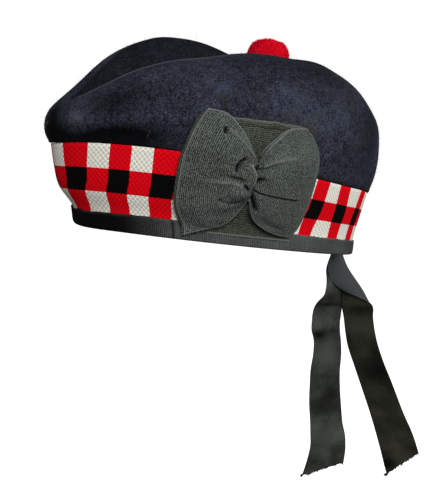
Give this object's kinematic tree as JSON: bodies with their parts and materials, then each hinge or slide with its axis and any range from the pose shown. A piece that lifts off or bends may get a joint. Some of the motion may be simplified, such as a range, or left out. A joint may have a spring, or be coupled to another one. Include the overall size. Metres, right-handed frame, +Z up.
{
  "type": "glengarry cap",
  "caption": "Creased felt cap with a diced woven band, a bound rim, a ribbon bow on the left side, a wool pompom in the crease and ribbon tails at the back.",
  "frame": {"origin": "middle of the head opening, in the plane of the rim, where the cap sits on a head", "axes": "+Z up with the cap tipped back as it is worn, -Y towards the forehead, +X towards the wearer's left side, which carries the bow"},
  "size_m": [0.1683, 0.3059, 0.3884],
  "materials": {
    "navy_felt": "matt wool felt, fuzzy",
    "diced_wool": "woven wool in red, white and black checks",
    "black_ribbon": "ribbed grosgrain",
    "cockade_ribbon": "ribbed grosgrain, dark green grey",
    "tail_ribbon": "soft black ribbon, matt",
    "red_wool": "dense clipped wool"
  },
  "bodies": {
    "root": {"crown": "navy_felt", "diced_band": "diced_wool", "rim_binding": "black_ribbon", "cockade_backing": "cockade_ribbon", "cockade_loop_front": "cockade_ribbon", "cockade_loop_rear": "cockade_ribbon", "cockade_knot": "cockade_ribbon", "toorie": "red_wool", "tail_left": "tail_ribbon", "tail_right": "tail_ribbon", "tail_fold": "tail_ribbon"}
  },
  "joints": []
}
